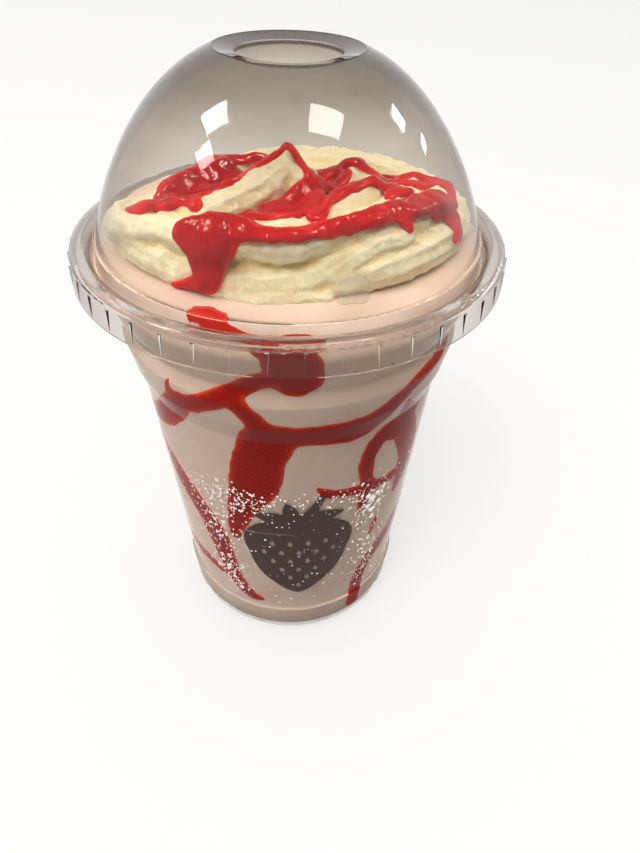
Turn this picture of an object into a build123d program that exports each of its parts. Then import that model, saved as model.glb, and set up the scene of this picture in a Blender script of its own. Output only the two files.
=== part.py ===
from build123d import *
from math import atan2, cos, degrees, pi, sin
import os

# Strawberry milkshake topped with whipped cream, in a clear cup with a dome lid.
# Millimetres, +Z up. The origin is the centre of the foot that the cup stands on,
# and -Y is the front.

# ---- Cup: thermoformed clear shell with a rolled rim ----
rim_height = 121.5
rim_radius = 48.8
rim_roll = 1.2  # radius of the rolled rim's section
cup_wall = 0.6
least_radius = 0.05  # of a fillet on an inside face
foot_radius = 31.6
foot_width = 3.4
recess_slope = 1.7  # width of the slanting wall inside the foot
recess_depth = 3.0
heel_flare = 2.2
heel_height = 3.0
base_ring_height = 12.0
base_ring_reach = 0.9  # the ring stands out of the wall by this much
base_ring_half_width = 1.1
ledge_inset = 9.6  # the top of the plain tapered wall is this far inside the rim
ledge_drop = 33.5  # below the rim, as are the next three
shoulder_drop = 28.0
bulge_drop = 21.0
neck_drop = 17.3
ledge_step = 1.8
bulge_reach = 1.3
neck_pinch = 1.2
heel_fill = 1.6  # the thick corner inside the heel reaches this far up the wall
notch_count = 10  # shallow scallops round the heel
notch_radius = 5.0
notch_depth = 1.6  # inside the heel's radius
notch_height = 1.0

# ---- Lid: thermoformed clear dome with a straw hole, heights above its flange ----
lid_wall = 0.5
hole_radius = 11.0
hole_dish = 0.86  # the hole's edge below the crease round the flat top
hole_lip = 1.0  # the edge of the hole is turned down by this much
crease_height = 37.06  # where the flat top meets the dome
dome_closing = 2.3  # the dome's curve would close this far above the crease
dome_power = 1.29
dome_fullness = 0.408
dome_steps = 10
foot_rise = 1.2  # the dome's foot above the flange
shelf_width = 0.75
channel_width = 0.75
channel_slant = 0.45
channel_depth = 3.4
plug_clearance = 0.1
flange_reach = 1.15  # beyond the rolled rim
skirt_flare = 0.65
skirt_drop = 6.8
crimp_count = 45
crimp_radius = 0.42
crimp_tip = 0.08
crimp_length = 4.6
crimp_drop = 1.5
crimp_phase = 3.1  # degrees from the front to the nearest crimp

# ---- Contents ----
milk_drop = 0.6  # milk level below the dome's foot
cream_side_gap = 2.8  # from the cream's foot to the lid's plug
cream_front_gap = 7.0  # and this much more at the front
cream_height = 14.5
cream_steepness = 3.2  # at the front, and less at the back
cream_back_steepness = 1.9
cream_lobes = 9
cream_twist = 2.4
cream_fold = 1.5  # height of the piped folds
cream_groove = 2.2  # depth of the groove between the two rounds of cream
cream_groove_place = 0.62
cream_groove_width = 0.2
cream_peak_height = 6.0
cream_peak_width = 7.5
cream_peak_forward = 6.0
cream_gap = 0.5  # least clearance to the lid
cream_sectors = 72
cream_rings = 12

# ---- Sizes that follow from these ----
flange_height = rim_height + lid_wall
channel_floor_height = flange_height - channel_depth
channel_outer_radius = rim_radius - 2 * rim_roll - lid_wall
channel_inner_radius = channel_outer_radius - channel_slant - channel_width
plug_radius = channel_inner_radius - lid_wall
dome_foot_radius = channel_inner_radius - shelf_width
dome_close_height = crease_height + dome_closing
flange_radius = rim_radius + flange_reach
skirt_radius = flange_radius + skirt_flare
crimp_circle = flange_radius + skirt_flare * crimp_drop / skirt_drop
skirt_angle = degrees(atan2(skirt_flare, skirt_drop))
milk_level = flange_height + foot_rise - milk_drop
heel_radius = foot_radius + heel_flare
foot_inner_radius = foot_radius - foot_width
ledge_radius = rim_radius - ledge_inset
shoulder_radius = ledge_radius + ledge_step
bulge_radius = shoulder_radius + bulge_reach
throat_radius = channel_outer_radius - channel_slant / 2 + lid_wall + plug_clearance + cup_wall

cup_outline = [
    (0, recess_depth),
    (foot_inner_radius - recess_slope, recess_depth),
    (foot_inner_radius, 0),
    (foot_radius, 0),
    (heel_radius, heel_height),
    (heel_radius, base_ring_height - base_ring_half_width),
    (heel_radius + base_ring_reach, base_ring_height),
    (heel_radius, base_ring_height + base_ring_half_width),
    (ledge_radius, rim_height - ledge_drop),
    (shoulder_radius, rim_height - shoulder_drop),
    (bulge_radius, rim_height - bulge_drop),
    (bulge_radius - neck_pinch, rim_height - neck_drop),
    (throat_radius, channel_floor_height),
    (throat_radius, rim_height - rim_roll),
]
cup_corner_radii = [1.0, 1.0, 1.6, 2.0, 0.8, 1.0, 0.8, 1.5, 1.5, 2.5, 2.0, 3.0]


def inside_points(points, wall):
    """Corners of a shell's inside face: the outline moved right by the wall, with mitres."""
    sides = [(Vector(*end) - Vector(*start)).normalized() for start, end in zip(points, points[1:])]
    normals = [Vector(side.Y, -side.X) for side in sides]
    before = [normals[0]] + normals
    after = normals + [normals[-1]]
    moved = []
    for point, one, two in zip(points, before, after):
        corner = Vector(*point) + (one + two) * (wall / (1 + one.dot(two)))
        moved.append((corner.X, corner.Y))
    return moved


def inside_radii(points, radii, wall):
    """Fillet radii of the inside face: larger where the outline turns left."""
    found = []
    for start, corner, end, radius in zip(points, points[1:], points[2:], radii):
        turn = (Vector(*corner) - Vector(*start)).cross(Vector(*end) - Vector(*corner)).Z
        found.append(max(radius + (wall if turn > 0 else -wall), least_radius))
    return found


def dome_curve(height):
    """Share of the dome's full radius that is left at a height above the flange."""
    return (1 - (height / dome_close_height) ** dome_power) ** dome_fullness


def dome_radius_at(height):
    """Outer radius of the dome at a height above the flange."""
    return dome_foot_radius * dome_curve(height) / dome_curve(foot_rise)


cup_inside = inside_points(cup_outline, -cup_wall)
cup_inside_radii = inside_radii(cup_outline, cup_corner_radii, -cup_wall)
dome_heights = [
    crease_height + (foot_rise - crease_height) * step / dome_steps
    for step in range(dome_steps + 1)
]
dome_points = [(dome_radius_at(height), flange_height + height) for height in dome_heights]
lid_top = [
    (hole_radius, flange_height + crease_height - hole_dish - hole_lip),
    (hole_radius, flange_height + crease_height - hole_dish),
    dome_points[0],
]
flange_outline = [
    (dome_foot_radius, flange_height + foot_rise),
    (channel_inner_radius, flange_height + foot_rise),
    (channel_inner_radius, channel_floor_height),
    (channel_inner_radius + channel_width, channel_floor_height),
    (channel_outer_radius, flange_height),
    (flange_radius, flange_height),
    (skirt_radius, flange_height - skirt_drop),
]
flange_corner_radii = [0.3, 0.3, 0.3, rim_roll + lid_wall, 1.2]
lid_outside = lid_top + dome_points[1:] + flange_outline[1:]
lid_inside = inside_points(lid_outside, lid_wall)
flange_inside_radii = inside_radii(flange_outline, flange_corner_radii, lid_wall)
crease_index = len(lid_top) - 1
foot_index = crease_index + dome_steps


def cream_foot_radius(angle):
    """Radius of the cream's foot; angle is 0 at the front."""
    front = ((1 + cos(angle)) / 2) ** 4
    return plug_radius - cream_side_gap - cream_front_gap * front


def cream_point(share, angle):
    """A point of the cream's top, at a share of the way from its middle to its foot."""
    back = (1 - cos(angle)) / 2
    steepness = cream_steepness + (cream_back_steepness - cream_steepness) * back
    mound = (1 - share**steepness) ** 0.5
    swirl = cos(cream_lobes * angle + cream_twist * pi * share)
    fold = cream_fold * swirl * sin(pi * share**1.5)
    off_groove = abs(share - cream_groove_place) / cream_groove_width
    groove = cream_groove * max(0, 1 - off_groove) ** 2
    reach = share * (cream_foot_radius(angle) + fold / 2)
    x = reach * sin(angle)
    y = -reach * cos(angle)
    off_peak = (x**2 + (y + cream_peak_forward) ** 2) / cream_peak_width**2
    peak = cream_peak_height * max(0, 1 - off_peak) ** 1.5
    height = max(0, cream_height * mound + fold - groove) + peak
    over_flange = max(foot_rise, milk_level + height - flange_height)
    limit = dome_radius_at(over_flange) - lid_wall - cream_gap
    shrink = min(1, limit / reach) if reach else 1
    return Vector(x * shrink, y * shrink, milk_level + height)


def cream_solid():
    """The mound: rings of points joined by triangles, on a flat foot."""
    top = cream_point(0, 0)
    angles = [2 * pi * n / cream_sectors for n in range(cream_sectors)]
    rings = [
        [cream_point(ring / cream_rings, angle) for angle in angles]
        for ring in range(1, cream_rings + 1)
    ]
    triangles = []
    for n in range(cream_sectors):
        after = (n + 1) % cream_sectors
        triangles.append((top, rings[0][n], rings[0][after]))
        for inner, outer in zip(rings, rings[1:]):
            triangles.append((inner[n], outer[n], outer[after]))
            triangles.append((inner[n], outer[after], inner[after]))
    faces = [Face(Wire.make_polygon(corners)) for corners in triangles]
    faces.append(Face(Wire.make_polygon(rings[-1])))
    return Solid(Shell(faces))


heel_corner = [
    (foot_inner_radius, cup_wall / 2),
    (foot_radius, cup_wall / 2),
    (heel_radius - cup_wall / 2, heel_height),
    (heel_radius - cup_wall / 2, heel_height + heel_fill),
]

# ---- Cup ----
with BuildPart(Plane.XY.offset(notch_height)) as heel_notches:
    with PolarLocations(heel_radius + notch_radius - notch_depth, notch_count):
        Sphere(notch_radius)

with BuildPart() as cup:
    with BuildSketch(Plane.XZ) as cup_section:
        with BuildLine():
            outside = FilletPolyline(*cup_outline, radius=cup_corner_radii)
            inside = FilletPolyline(*cup_inside, radius=cup_inside_radii)
            Line(outside @ 0, inside @ 0)
            Line(outside @ 1, inside @ 1)
        make_face()
        with BuildLine():
            Polyline(*heel_corner, close=True)
        make_face()
        with Locations((rim_radius - rim_roll, rim_height - rim_roll)):
            Circle(rim_roll)
    revolve(axis=Axis.Z)
    add(heel_notches.part, mode=Mode.SUBTRACT)
cup.part.label = "cup"

# ---- Dome lid ----
with BuildPart(Plane.XY.offset(flange_height - crimp_drop)) as crimps:
    with PolarLocations(crimp_circle, crimp_count, start_angle=crimp_phase - 90):
        Cone(
            bottom_radius=crimp_tip,
            top_radius=crimp_radius,
            height=crimp_length,
            rotation=(0, -skirt_angle, 0),
            align=(Align.CENTER, Align.CENTER, Align.MAX),
        )

with BuildPart() as dome_lid:
    with BuildSketch(Plane.XZ) as lid_section:
        with BuildLine():
            for face, radii in ((lid_outside, flange_corner_radii), (lid_inside, flange_inside_radii)):
                Polyline(*face[: crease_index + 1])
                Spline(*face[crease_index : foot_index + 1])
                FilletPolyline(*face[foot_index:], radius=radii)
            Line(lid_outside[0], lid_inside[0])
            Line(lid_outside[-1], lid_inside[-1])
        make_face()
    revolve(axis=Axis.Z)
    add(crimps.part)
dome_lid.part.label = "dome_lid"

# ---- Milkshake: fills the cup up to the lid's channel, then the lid's plug ----
milk_step = channel_floor_height - lid_wall
with BuildPart() as milkshake:
    with BuildSketch(Plane.XZ) as milk_section:
        with BuildLine():
            wall_line = FilletPolyline(*cup_outline, radius=cup_corner_radii)
            Polyline(wall_line @ 1, (0, rim_height - rim_roll), wall_line @ 0)
        make_face()
    revolve(axis=Axis.Z)
    split(bisect_by=Plane.XY.offset(milk_step), keep=Keep.BOTTOM)
    with BuildSketch(Plane.XY.offset(milk_step)):
        Circle(plug_radius)
    extrude(amount=milk_level - milk_step)
    add(heel_notches.part, mode=Mode.SUBTRACT)
    add(cup.part, mode=Mode.SUBTRACT)
    add(dome_lid.part, mode=Mode.SUBTRACT)
milkshake.part.label = "milkshake"

# ---- Whipped cream ----
with BuildPart() as whipped_cream:
    add(cream_solid())
whipped_cream.part.label = "whipped_cream"

os.makedirs("parts", exist_ok=True)
for piece in (cup.part, dome_lid.part, milkshake.part, whipped_cream.part):
    export_step(piece, "parts/" + piece.label + ".step")
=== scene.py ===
"""Looks of the strawberry milkshake: milk, cream, syrup, drops and print in and on the clear cup."""

import math

import bmesh
import bpy
import numpy as np
from mathutils import Matrix, Vector, noise
from mathutils.bvhtree import BVHTree


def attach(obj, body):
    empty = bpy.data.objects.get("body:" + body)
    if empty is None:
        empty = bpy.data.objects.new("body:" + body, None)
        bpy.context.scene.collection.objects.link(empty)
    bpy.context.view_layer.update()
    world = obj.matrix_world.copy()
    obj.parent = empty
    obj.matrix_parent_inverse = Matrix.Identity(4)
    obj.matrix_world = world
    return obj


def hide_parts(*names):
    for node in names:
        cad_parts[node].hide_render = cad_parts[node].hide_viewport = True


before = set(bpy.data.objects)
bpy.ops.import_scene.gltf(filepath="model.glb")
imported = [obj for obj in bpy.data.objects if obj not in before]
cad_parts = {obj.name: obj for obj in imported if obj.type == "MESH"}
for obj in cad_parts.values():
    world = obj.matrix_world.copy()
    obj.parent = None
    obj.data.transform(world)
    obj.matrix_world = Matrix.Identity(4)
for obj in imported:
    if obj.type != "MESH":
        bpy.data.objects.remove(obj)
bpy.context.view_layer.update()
collection = bpy.context.scene.collection
rng = np.random.default_rng(7)

MM = 0.001
FLANGE = 122.0  # top of the lid's flange above the table; heights below are from it, in mm
LEVEL = 0.6  # milk level
CUP_WALL = 0.6
PLUG_RADIUS = 44.2  # inside of the lid's plug
PLUG_END = -3.9  # the plug's lower end, where the milk meets the cup's wall
DOME_FOOT = 43.62  # inside radius of the dome at the flange
DOME_CLOSE, DOME_POWER, DOME_FULLNESS = 39.36, 1.29, 0.408

# ---------------------------------------------------------------- camera
CAM_BACK, CAM_HEIGHT = 0.14229, 0.18521
CAM_PITCH, CAM_YAW, CAM_ROLL = 41.64, 3.51, 2.03
CAM_LENS = 26.50

camera_data = bpy.data.cameras.new("camera")
camera_data.sensor_width = 36
camera_data.lens = CAM_LENS
camera_data.clip_start = 0.005
camera = bpy.data.objects.new("camera", camera_data)
collection.objects.link(camera)
pitch, yaw, roll = (math.radians(a) for a in (CAM_PITCH, CAM_YAW, CAM_ROLL))
forward = Vector((math.sin(yaw) * math.cos(pitch), math.cos(yaw) * math.cos(pitch), -math.sin(pitch)))
right = forward.cross(Vector((0, 0, 1))).normalized()
up = right.cross(forward)
right, up = math.cos(roll) * right + math.sin(roll) * up, -math.sin(roll) * right + math.cos(roll) * up
turn = Matrix((right, up, -forward)).transposed()
camera.matrix_world = Matrix.Translation((0, -CAM_BACK, CAM_HEIGHT)) @ turn.to_4x4()
bpy.context.scene.camera = camera
bpy.context.scene.view_settings.view_transform = "Standard"


# ---------------------------------------------------------------- materials
def srgb(r, g, b):
    """Linear colour from 0..255 screen values."""
    return tuple(((c / 255 + 0.055) / 1.055) ** 2.4 if c > 10 else c / 3294 for c in (r, g, b))


def principled(name, colour, rough, **more):
    mat = bpy.data.materials.new(name)
    mat.use_nodes = True
    shader = mat.node_tree.nodes["Principled BSDF"]
    shader.inputs["Base Color"].default_value = (*colour, 1)
    shader.inputs["Roughness"].default_value = rough
    for key, value in more.items():
        shader.inputs[key.replace("_", " ")].default_value = value
    return mat


def ramp_colour(mat, source, stops):
    """Colours a material by a ramp over the source socket's value."""
    nodes, links = mat.node_tree.nodes, mat.node_tree.links
    ramp = nodes.new("ShaderNodeValToRGB")
    while len(ramp.color_ramp.elements) < len(stops):
        ramp.color_ramp.elements.new(0.5)
    for element, (place, colour) in zip(ramp.color_ramp.elements, stops):
        element.position = place
        element.color = (*colour, 1)
    links.new(source, ramp.inputs["Fac"])
    links.new(ramp.outputs["Color"], nodes["Principled BSDF"].inputs["Base Color"])
    return ramp


def noise_source(mat, scale, detail=3.0):
    nodes, links = mat.node_tree.nodes, mat.node_tree.links
    place = nodes.new("ShaderNodeTexCoord")
    tex = nodes.new("ShaderNodeTexNoise")
    tex.inputs["Scale"].default_value = scale
    tex.inputs["Detail"].default_value = detail
    links.new(place.outputs["Object"], tex.inputs["Vector"])
    return tex.outputs["Fac"]


def add_bump(mat, scale, depth, detail=3.0):
    nodes, links = mat.node_tree.nodes, mat.node_tree.links
    bump = nodes.new("ShaderNodeBump")
    bump.inputs["Distance"].default_value = depth
    bump.inputs["Strength"].default_value = 1.0
    links.new(noise_source(mat, scale, detail), bump.inputs["Height"])
    links.new(bump.outputs["Normal"], nodes["Principled BSDF"].inputs["Normal"])


def attribute_source(mat, name):
    node = mat.node_tree.nodes.new("ShaderNodeAttribute")
    node.attribute_name = name
    return node.outputs["Fac"]


def clear_plastic(name, tints_and_painted_shade, edge, bend, gloss):
    """Clear thin plastic which lets lamps through, with painted shade that darkens it at its edges, standing
    in for dark surroundings mirrored there. Tints are (height, colour): the plastic's own faint tint, and
    painted shade where they darken with height.
    """
    mat = principled(
        name, tints_and_painted_shade[0][1], 0.02, Transmission_Weight=1.0, IOR=bend, Specular_Tint=(gloss, gloss, gloss, 1)
    )
    nodes, links = mat.node_tree.nodes, mat.node_tree.links
    shader = nodes["Principled BSDF"]
    place = nodes.new("ShaderNodeTexCoord")
    split = nodes.new("ShaderNodeSeparateXYZ")
    links.new(place.outputs["Object"], split.inputs[0])
    # Colour by height from the tints; on the lid this darkens towards the top as painted shade.
    rise = nodes.new("ShaderNodeMapRange")
    low, high = tints_and_painted_shade[0][0], tints_and_painted_shade[-1][0]
    rise.inputs["From Min"].default_value = (FLANGE + low) * MM
    rise.inputs["From Max"].default_value = (FLANGE + high) * MM
    links.new(split.outputs["Z"], rise.inputs["Value"])
    tall = nodes.new("ShaderNodeValToRGB")
    while len(tall.color_ramp.elements) < len(tints_and_painted_shade):
        tall.color_ramp.elements.new(0.5)
    for element, (height, colour) in zip(tall.color_ramp.elements, tints_and_painted_shade):
        element.position = (height - low) / (high - low)
        element.color = (*colour, 1)
    links.new(rise.outputs[0], tall.inputs["Fac"])
    # Painted shade: the facing ramp darkens the plastic towards its grazing edges, a painted reflection of
    # dark surroundings.
    facing = nodes.new("ShaderNodeLayerWeight")
    facing.inputs["Blend"].default_value = 0.3
    edges = nodes.new("ShaderNodeValToRGB")
    edges.color_ramp.elements[0].position = 0.2
    edges.color_ramp.elements[0].color = (1, 1, 1, 1)
    edges.color_ramp.elements[1].position = 0.66
    edges.color_ramp.elements[1].color = (*edge, 1)
    links.new(facing.outputs["Facing"], edges.inputs["Fac"])
    both = nodes.new("ShaderNodeMix")
    both.data_type = "RGBA"
    both.blend_type = "MULTIPLY"
    both.inputs["Factor"].default_value = 1
    links.new(tall.outputs["Color"], both.inputs["A"])
    links.new(edges.outputs["Color"], both.inputs["B"])
    links.new(both.outputs["Result"], shader.inputs["Base Color"])
    path = nodes.new("ShaderNodeLightPath")
    through = nodes.new("ShaderNodeBsdfTransparent")
    through.inputs["Color"].default_value = (0.93, 0.92, 0.9, 1)
    pick = nodes.new("ShaderNodeMixShader")
    links.new(path.outputs["Is Shadow Ray"], pick.inputs[0])
    links.new(shader.outputs[0], pick.inputs[1])
    links.new(through.outputs[0], pick.inputs[2])
    links.new(pick.outputs[0], nodes["Material Output"].inputs["Surface"])
    return mat


# The lid's tint is partly the plastic's own faint grey and partly painted shade. It darkens from 14 mm up to
# the top of the dome, standing in for the dark room seen through and mirrored in it. Its edge colour is a
# painted dark reflection at grazing edges.
lid_plastic = clear_plastic(
    "clear_lid_plastic",
    [(-7, (0.82, 0.79, 0.76)), (-1, (0.80, 0.77, 0.74)), (1, (0.86, 0.84, 0.81)), (14, (0.83, 0.80, 0.76)),
     (26, (0.70, 0.66, 0.61)), (33, (0.44, 0.40, 0.36))],
    (0.26, 0.21, 0.19), 1.3, 0.6,
)
# The cup's pale tint is the plastic's own; its edge colour is a painted dark reflection at grazing edges.
cup_plastic = clear_plastic(
    "clear_cup_plastic", [(-122, (0.97, 0.96, 0.95)), (0, (0.97, 0.96, 0.95))], (0.72, 0.70, 0.68), 1.12, 0.5
)

milk_mat = principled("milkshake", srgb(237, 214, 198), 0.35, Specular_IOR_Level=0.06)
ramp_colour(milk_mat, noise_source(milk_mat, 120), [(0.3, srgb(234, 209, 192)), (0.7, srgb(240, 218, 203))])
cream_mat = principled(
    "whipped_cream", srgb(243, 232, 190), 0.5,
    Subsurface_Weight=0.15, Subsurface_Scale=0.001, Specular_IOR_Level=0.08,
)
# Painted shade: the cream is coloured darker and yellower in its hollows and creases, where depth is high,
# and paler on its crests.
ramp_colour(
    cream_mat,
    attribute_source(cream_mat, "depth"),
    [(0.15, srgb(244, 241, 214)), (0.5, srgb(240, 233, 197)), (0.85, srgb(235, 218, 162))],
)
add_bump(cream_mat, 1100, 0.0003, 4)
syrup_mat = principled("syrup", (0.5, 0.01, 0.01), 0.07, Specular_IOR_Level=0.25)
ramp_colour(
    syrup_mat,
    attribute_source(syrup_mat, "depth"),
    [(0.0, srgb(240, 52, 36)), (0.4, srgb(226, 18, 18)), (1.0, srgb(182, 8, 12))],
)
add_bump(syrup_mat, 260, 0.0006, 2)
wall_syrup_mat = principled("syrup_on_wall", (0.4, 0.02, 0.015), 0.4, Specular_IOR_Level=0.05)
ramp_colour(
    wall_syrup_mat,
    attribute_source(wall_syrup_mat, "depth"),
    [(0.0, srgb(236, 88, 50)), (0.35, srgb(190, 38, 26)), (1.0, srgb(164, 26, 20))],
)
lid_syrup_mat = principled("syrup_at_lid", srgb(236, 48, 28), 0.3, Specular_IOR_Level=0.2)
print_mat = principled("print", srgb(60, 45, 40), 0.5, Specular_IOR_Level=0.12)
droplet_mat = principled("droplets", srgb(246, 236, 228), 0.2, Specular_IOR_Level=0.6)
smear_mat = principled("cream_smear", srgb(255, 252, 244), 0.3, Transmission_Weight=0.8, IOR=1.05)


# ---------------------------------------------------------------- helpers for shapes
def on_circle(angle, radius, height):
    """A point in mm from an angle in degrees, a radius and a height over the flange.

    The angle is 0 at the front and 90 to the right.
    """
    a = math.radians(angle)
    return np.array([radius * math.sin(a), -radius * math.cos(a), FLANGE + height])


def smooth_rows(rows, step):
    """Rows of numbers whose first three are a place: a Catmull-Rom curve through them, about a step apart."""
    rows = np.array(rows, float)
    ends = np.vstack([2 * rows[0] - rows[1], rows, 2 * rows[-1] - rows[-2]])
    found = []
    for a, b, c, d in zip(ends, ends[1:], ends[2:], ends[3:]):
        count = max(2, int(np.linalg.norm((c - b)[:3]) / step))
        t = np.linspace(0, 1, count, endpoint=False)[:, None]
        found.append(
            0.5 * (2 * b + (c - a) * t + (2 * a - 5 * b + 4 * c - d) * t**2 + (3 * b - a - 3 * c + d) * t**3)
        )
    found.append(rows[-1:])
    return np.vstack(found)


def make_piece(name, points, faces, mat, smooth=True):
    """A piece of the drink from points in mm."""
    mesh = bpy.data.meshes.new(name)
    mesh.from_pydata([tuple(p) for p in np.asarray(points) * MM], [], [tuple(f) for f in faces])
    mesh.validate()
    mesh.materials.append(mat)
    if smooth:
        mesh.shade_smooth()
    obj = bpy.data.objects.new(name, mesh)
    collection.objects.link(obj)
    return obj


def points_of(mesh):
    flat = np.empty(len(mesh.vertices) * 3, np.float32)
    mesh.vertices.foreach_get("co", flat)
    return flat.reshape(-1, 3).astype(float)


def normals_of(mesh):
    flat = np.empty(len(mesh.vertices) * 3, np.float32)
    mesh.vertices.foreach_get("normal", flat)
    return flat.reshape(-1, 3).astype(float)


def put_points(mesh, points):
    mesh.vertices.foreach_set("co", points.astype(np.float32).ravel())
    mesh.update()


class Soup:
    """Closed shapes gathered together before they are fused by a voxel remesh."""

    def __init__(self):
        self.points, self.faces, self.count = [], [], 0

    def add(self, points, faces):
        self.points.append(np.asarray(points, float))
        self.faces.extend([tuple(i + self.count for i in f) for f in faces])
        self.count += len(points)

    @staticmethod
    def cap(ring, share):
        """A smaller ring that rounds a rope's end, a share of the radius ahead of the last ring."""
        centre, along, across, radius = ring
        return centre + along * radius * share, along, across, radius * math.sqrt(1 - share * share)

    def rope(self, rows, ribs=0, rib_depth=0.0, twist=0.0, sides=28):
        """A rope with rounded ends. Rows are x, y, z, radius, in mm."""
        path = smooth_rows(rows, 0.8)
        body = path[:, :3]
        ahead = np.gradient(body, axis=0)
        ahead /= np.linalg.norm(ahead, axis=1)[:, None]
        side = np.cross(ahead[0], [0, 0, 1.0])
        side /= np.linalg.norm(side)
        rings = []
        for n in range(len(path)):
            side = side - ahead[n] * (side @ ahead[n])
            side /= np.linalg.norm(side)
            rings.append((body[n], ahead[n], side, path[n, 3]))
        caps = np.linspace(0.25, 0.97, 4)
        start = [self.cap(rings[0], -c) for c in caps[::-1]]
        end = [self.cap(rings[-1], c) for c in caps]
        phi = np.linspace(0, 2 * math.pi, sides, endpoint=False)
        points = []
        for n, (centre, along, across, radius) in enumerate(start + rings + end):
            over = np.cross(along, across)
            swell = radius * (1 + rib_depth * np.cos(ribs * phi + twist * n))
            points.append(
                centre + swell[:, None] * (np.cos(phi)[:, None] * across + np.sin(phi)[:, None] * over)
            )
        count = len(points)
        faces = []
        for r in range(count - 1):
            for s in range(sides):
                t = (s + 1) % sides
                faces.append((r * sides + s, r * sides + t, (r + 1) * sides + t, (r + 1) * sides + s))
        faces.append(tuple(range(sides))[::-1])
        faces.append(tuple((count - 1) * sides + s for s in range(sides)))
        self.add(np.vstack(points), faces)

    def blob(self, centre, axes):
        """An ellipsoid; axes are three vectors in mm."""
        axes = np.asarray(axes, float)
        self.add(np.asarray(centre) + BALL_POINTS @ axes, BALL_FACES)

    def fuse(self, name, voxel, mat):
        obj = make_piece(name, np.vstack(self.points), self.faces, mat)
        remesh = obj.modifiers.new("fuse", "REMESH")
        remesh.mode = "VOXEL"
        remesh.voxel_size = voxel * MM
        graph = bpy.context.evaluated_depsgraph_get()
        fused = bpy.data.meshes.new_from_object(obj.evaluated_get(graph))
        obj.modifiers.clear()
        old = obj.data
        obj.data = fused
        bpy.data.meshes.remove(old)
        fused.name = name
        fused.materials.clear()
        fused.materials.append(mat)
        fused.shade_smooth()
        return obj


def ball(rings=7, sides=12):
    points, faces = [(0, 0, 1)], []
    for r in range(1, rings):
        a = math.pi * r / rings
        points += [
            (math.sin(a) * math.cos(b), math.sin(a) * math.sin(b), math.cos(a))
            for b in np.linspace(0, 2 * math.pi, sides, endpoint=False)
        ]
    points.append((0, 0, -1))
    for s in range(sides):
        t = (s + 1) % sides
        faces.append((0, 1 + s, 1 + t))
        for r in range(rings - 2):
            i = 1 + r * sides
            faces.append((i + s, i + sides + s, i + sides + t, i + t))
        last = 1 + (rings - 2) * sides
        faces.append((last + s, len(points) - 1, last + t))
    return np.array(points, float), faces


BALL_POINTS, BALL_FACES = ball()


def relax(mesh, rounds, share=0.5):
    """Evens a mesh out by moving each point towards the mean of its neighbours."""
    points = points_of(mesh)
    edges = np.empty(len(mesh.edges) * 2, np.int32)
    mesh.edges.foreach_get("vertices", edges)
    a, b = edges.reshape(-1, 2).T
    degree = np.bincount(np.concatenate([a, b]), minlength=len(points)).clip(1)[:, None]
    for _ in range(rounds):
        total = np.zeros_like(points)
        np.add.at(total, a, points[b])
        np.add.at(total, b, points[a])
        points += share * (total / degree - points)
    put_points(mesh, points)


def roughen(mesh, layers):
    """Moves points along their normals by noise. Layers are (size of a bump, height) in mm."""
    points, normals = points_of(mesh), normals_of(mesh)
    move = np.zeros(len(points))
    for n, (size, height) in enumerate(layers):
        shift = Vector((n * 7.3, n * 3.1, n * 5.7))
        scale = 1 / (size * MM)
        move += height * MM * np.array([noise.noise(Vector(p) * scale + shift) for p in points])
    put_points(mesh, points + normals * move[:, None])


def store_depth(mesh, values):
    """Keeps a number for each point, which the materials read."""
    layer = mesh.attributes.new("depth", "FLOAT", "POINT")
    layer.data.foreach_set("value", np.asarray(values, np.float32))


# ---------------------------------------------------------------- inside of the cup, read from the CAD, and of the dome, from a formula
def profile_of(node, keep):
    points = points_of(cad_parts[node].data) / MM
    radius = np.hypot(points[:, 0], points[:, 1])
    height = points[:, 2] - FLANGE
    chosen = keep(radius, height)
    order = np.argsort(height[chosen])
    return height[chosen][order], radius[chosen][order]


wall_heights, wall_radii = profile_of(
    "milkshake", lambda r, z: (r > 32) & (z > 4.5 - FLANGE) & (z < PLUG_END + 0.1) & ((z < -4) | (r > 45))
)


def wall_radius(height):
    """Radius of the cup's inside face."""
    return np.interp(height, wall_heights, wall_radii)


def dome_radius(height):
    """Radius of the dome's inside face."""
    share = np.clip(np.asarray(height, float) / DOME_CLOSE, 0, 0.999)
    return DOME_FOOT * (1 - share**DOME_POWER) ** DOME_FULLNESS


# ---------------------------------------------------------------- milk
BITE = 0.12  # it reaches this far into the wall


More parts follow.
